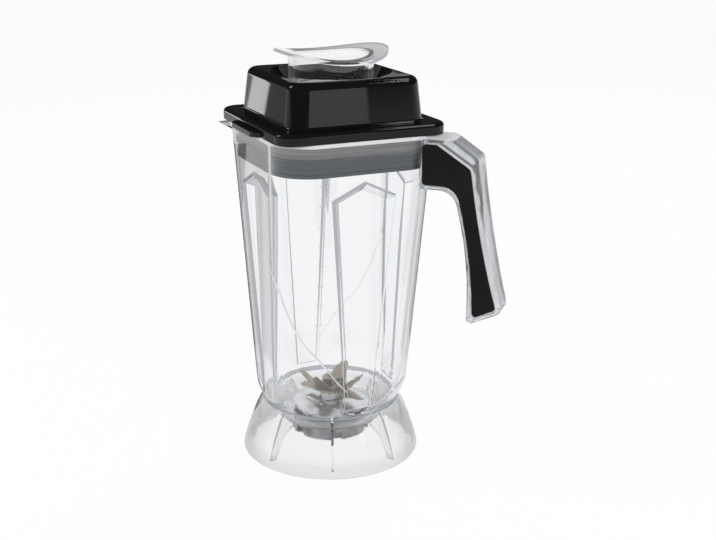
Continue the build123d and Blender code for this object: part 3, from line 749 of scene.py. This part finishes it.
beadTree = makeBeadTree()
for index, turn in enumerate(flowBead["turns"]):
    makeFlowBead("flow_bead_%d" % (index + 1), flowBead, turn, beadTree)

scaleTicks = {
    "face": 135.0,              # the back face's direction in degrees
    "startR": 0.12,             # the rays to the wall start here
    "first": (23.6, 209.0),     # along the face and height, mm
    "last": (14.4, 84.0),
    "count": 8,
    "size": (7.0 * mm, 0.9 * mm, 1.3 * mm),
}


def makeScaleTicks(spec, tree):
    angle = math.radians(spec["face"])
    outward = Vector((math.cos(angle), math.sin(angle), 0.0))
    along = Vector((math.sin(angle), -math.cos(angle), 0.0))
    ends = []
    for across, height in (spec["first"], spec["last"]):
        start = outward * spec["startR"] + along * across * mm + Vector((0, 0, height * mm))
        place, _ = wallPoint(start, -outward)
        ends.append(place)
    mesh = bpy.data.meshes.new("scale_ticks")
    values = {
        "First": ends[0], "Last": ends[1], "Count": spec["count"], "Size": spec["size"],
        "Turn": (0.0, 0.0, angle - math.pi / 2), "Finish": clearJar,
    }
    ticks = bakePiece("scale_ticks", mesh, tree, values)
    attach(ticks, "jar")


makeScaleTicks(scaleTicks, makeTickTree())
print("stage 4: moulded lines on the jar")


# Floor and studio

studio = {
    "floorRadius": 6.0,
    "floorSides": 96,
    "floorColour": grey(0.86),
    "floorGlow": 0.94,          # share of plain white where the floor is looked at
    "worldGrey": 0.42,
    "roomGrey": 0.04,           # what gloss shows above the backdrop
    "backdropTop": 0.02,        # sine of the backdrop's height as the jar sees it
    "backdropSoft": 0.03,
}


def seenDirectly(nodes, links, x, y):
    path = addNode(nodes, "ShaderNodeLightPath", x, y)
    camera, gloss = path.outputs["Is Camera Ray"], path.outputs["Is Glossy Ray"]
    some = addMath(nodes, links, "MAXIMUM", camera, gloss, x + 200, y)
    return addMath(nodes, links, "MAXIMUM", some, path.outputs["Is Transmission Ray"], x + 400, y)


def makeFloor(spec):
    mesh = bpy.data.meshes.new("studioFloor")
    form = bmesh.new()
    bmesh.ops.create_circle(
        form, cap_ends=True, segments=spec["floorSides"], radius=spec["floorRadius"],
    )
    form.to_mesh(mesh)
    form.free()
    floor = bpy.data.objects.new("studioFloor", mesh)
    bpy.context.scene.collection.objects.link(floor)
    material, nodes, links = newMaterial("studioFloorPale")
    out = addNode(nodes, "ShaderNodeOutputMaterial", 900)
    matte = addNode(nodes, "ShaderNodeBsdfDiffuse", 300, 100)
    matte.inputs["Color"].default_value = (*spec["floorColour"], 1.0)
    glow = addNode(nodes, "ShaderNodeEmission", 300, -100)
    mix = addNode(nodes, "ShaderNodeMixShader", 600)
    seen = seenDirectly(nodes, links, -600, 200)
    share = addMath(nodes, links, "MULTIPLY", seen, spec["floorGlow"], 100, 300)
    links.new(share, mix.inputs[0])
    links.new(matte.outputs[0], mix.inputs[1])
    links.new(glow.outputs[0], mix.inputs[2])
    links.new(mix.outputs[0], out.inputs["Surface"])
    mesh.materials.append(material)


def makeWorld(spec):
    world = bpy.data.worlds.new("studioWorld")
    bpy.context.scene.world = world
    world.use_nodes = True
    nodes, links = world.node_tree.nodes, world.node_tree.links
    nodes.clear()
    out = addNode(nodes, "ShaderNodeOutputWorld", 1100)
    path = addNode(nodes, "ShaderNodeLightPath", -600, 300)
    coords = addNode(nodes, "ShaderNodeTexCoord", -900, -200)
    split = addNode(nodes, "ShaderNodeSeparateXYZ", -700, -200)
    links.new(coords.outputs["Generated"], split.inputs[0])
    band = addNode(nodes, "ShaderNodeMapRange", -450, -200, interpolation_type="SMOOTHSTEP")
    band.inputs["From Min"].default_value = spec["backdropTop"] + spec["backdropSoft"]
    band.inputs["From Max"].default_value = spec["backdropTop"] - spec["backdropSoft"]
    band.inputs["To Min"].default_value = spec["roomGrey"]
    band.inputs["To Max"].default_value = 1.0
    links.new(split.outputs["Z"], band.inputs["Value"])
    soft = addNode(nodes, "ShaderNodeBackground", 0, 100)
    soft.inputs["Strength"].default_value = spec["worldGrey"]
    room = addNode(nodes, "ShaderNodeBackground", 0, -100)
    links.new(band.outputs["Result"], room.inputs["Strength"])
    white = addNode(nodes, "ShaderNodeBackground", 300, -200)
    for background in (soft, room, white):
        background.inputs["Color"].default_value = (*grey(1.0), 1.0)
    glossMix = addNode(nodes, "ShaderNodeMixShader", 300, 100)
    links.new(path.outputs["Is Glossy Ray"], glossMix.inputs[0])
    links.new(soft.outputs[0], glossMix.inputs[1])
    links.new(room.outputs[0], glossMix.inputs[2])
    camera, bent = path.outputs["Is Camera Ray"], path.outputs["Is Transmission Ray"]
    through = addMath(nodes, links, "MAXIMUM", camera, bent, 300, 300)
    seen = addNode(nodes, "ShaderNodeMixShader", 700)
    links.new(through, seen.inputs[0])
    links.new(glossMix.outputs[0], seen.inputs[1])
    links.new(white.outputs[0], seen.inputs[2])
    links.new(seen.outputs[0], out.inputs["Surface"])


def addLamp(name, spec, aim):
    light = bpy.data.lights.new(name, "AREA")
    light.shape = "RECTANGLE"
    light.size = spec["width"]
    light.size_y = spec["height"]
    light.energy = spec["power"]
    lamp = bpy.data.objects.new(name, light)
    bpy.context.scene.collection.objects.link(lamp)
    lamp.location = spec["place"]
    toward = Vector(aim) - Vector(spec["place"])
    lamp.rotation_euler = toward.to_track_quat("-Z", "Y").to_euler()
    lamp.visible_glossy = False        # the cards stand for it in reflections
    lamp.visible_transmission = False


def addCard(name, spec):
    mesh = bpy.data.meshes.new(name)
    form = bmesh.new()
    bmesh.ops.create_grid(form, x_segments=1, y_segments=1, size=0.5)
    form.to_mesh(mesh)
    form.free()
    material, nodes, links = newMaterial(name)
    out = addNode(nodes, "ShaderNodeOutputMaterial", 300)
    glow = addNode(nodes, "ShaderNodeEmission")
    glow.inputs["Strength"].default_value = spec["brightness"]
    links.new(glow.outputs[0], out.inputs["Surface"])
    mesh.materials.append(material)
    card = bpy.data.objects.new(name, mesh)
    bpy.context.scene.collection.objects.link(card)
    facing = (Vector(spec["aim"]) - Vector(spec["place"])).normalized()
    along = Vector(spec.get("along", (0.0, 0.0, 1.0)))      # the way its height runs
    across = along.cross(facing).normalized()
    turn = Matrix((across, facing.cross(across), facing)).transposed().to_4x4()
    size = Matrix.Diagonal((spec["width"], spec["height"], 1.0, 1.0))
    card.matrix_world = Matrix.Translation(spec["place"]) @ turn @ size
    card.visible_camera = False        # only gloss shows the cards
    card.visible_diffuse = False
    card.visible_transmission = False
    card.visible_shadow = False


lidFront = (0.041, -0.041, 0.30)
lidLeft = (-0.041, -0.041, 0.30)
cards = {
    "frontCard": {
        "place": (0.861, -0.382, 0.3085), "aim": lidFront,
        "width": 0.100, "height": 0.155, "brightness": 2.2,
    },
    "leftCard": {
        "place": (-0.878, 0.323, 0.228), "aim": lidLeft,
        "width": 0.034, "height": 0.20, "brightness": 4.0,
    },
    "leftFlag": {
        "place": (-0.860, 0.262, 0.228), "aim": lidLeft,
        "width": 0.075, "height": 0.30, "brightness": 0.35,
    },
    "leftFloorFlag": {
        "place": (-0.40, 0.60, 0.003), "aim": (-0.40, 0.60, 1.0), "along": (-0.914, 0.407, 0.0),
        "width": 0.8, "height": 1.0, "brightness": 0.02,
    },
    "rightFloorFlag": {
        "place": (0.15, 0.689, 0.002), "aim": (0.15, 0.689, 1.0), "along": (0.0, 1.0, 0.0),
        "width": 0.7, "height": 0.9, "brightness": 0.40,
    },
    "overheadCard": {
        "place": (0.75, 0.23, 1.36), "aim": (0.058, -0.016, 0.317), "along": (0.67, -0.69, -0.28),
        "width": 0.20, "height": 1.05, "brightness": 5.0,
    },
    "cornerCard": {
        "place": (-0.98, -0.22, 0.92), "aim": (-0.005, -0.069, 0.316),
        "width": 0.36, "height": 0.50, "brightness": 6.0,
    },
    "backCard": {
        "place": (-0.200, 0.807, 0.457), "aim": (0.070, -0.034, 0.285),
        "width": 0.060, "height": 0.03, "brightness": 0.35,
    },
}
jarMiddle = (0.0, 0.0, 0.2)
lamps = {
    "keySoftbox": {"place": (1.2, -1.3, 1.1), "width": 0.9, "height": 0.7, "power": 26.0},
    "fillStrip": {"place": (-1.5, -0.5, 0.8), "width": 0.5, "height": 1.2, "power": 14.0},
    "backSoftbox": {"place": (0.2, 1.6, 1.3), "width": 1.2, "height": 0.6, "power": 12.0},
}
makeFloor(studio)
makeWorld(studio)
for name, spec in cards.items():
    addCard(name, spec)
for name, spec in lamps.items():
    addLamp(name, spec, jarMiddle)
print("stage 5: studio lit")


# Camera, at the photograph's viewing angle

view = {
    "frameWidth": 716.0,        # pixels
    "focalPixels": 1197.0,
    "azimuth": math.radians(19.79),
    "pitch": math.radians(17.86),
    "roll": math.radians(-0.47),
    "distance": 0.9428,         # level distance from the jar's axis
    "height": 0.45825,
    "sideStep": 0.02256,
}


def addCamera(spec):
    lens = bpy.data.cameras.new("photoCamera")
    lens.sensor_width = 36.0
    lens.sensor_fit = "HORIZONTAL"
    lens.lens = lens.sensor_width * spec["focalPixels"] / spec["frameWidth"]
    lens.clip_start = 0.01
    camera = bpy.data.objects.new("photoCamera", lens)
    bpy.context.scene.collection.objects.link(camera)
    level = Vector((-math.sin(spec["azimuth"]), math.cos(spec["azimuth"]), 0.0))
    right = Vector((math.cos(spec["azimuth"]), math.sin(spec["azimuth"]), 0.0))
    up = level * math.sin(spec["pitch"]) + Vector((0, 0, 1)) * math.cos(spec["pitch"])
    turnedRight = right * math.cos(spec["roll"]) - up * math.sin(spec["roll"])
    turnedUp = up * math.cos(spec["roll"]) + right * math.sin(spec["roll"])
    back = turnedRight.cross(turnedUp)
    place = right * spec["sideStep"] - level * spec["distance"] + Vector((0, 0, spec["height"]))
    turn = Matrix((turnedRight, turnedUp, back)).transposed()
    camera.matrix_world = Matrix.Translation(place) @ turn.to_4x4()
    bpy.context.scene.camera = camera


addCamera(view)
bpy.context.scene.view_settings.view_transform = "Standard"
print("stage 6: camera set")
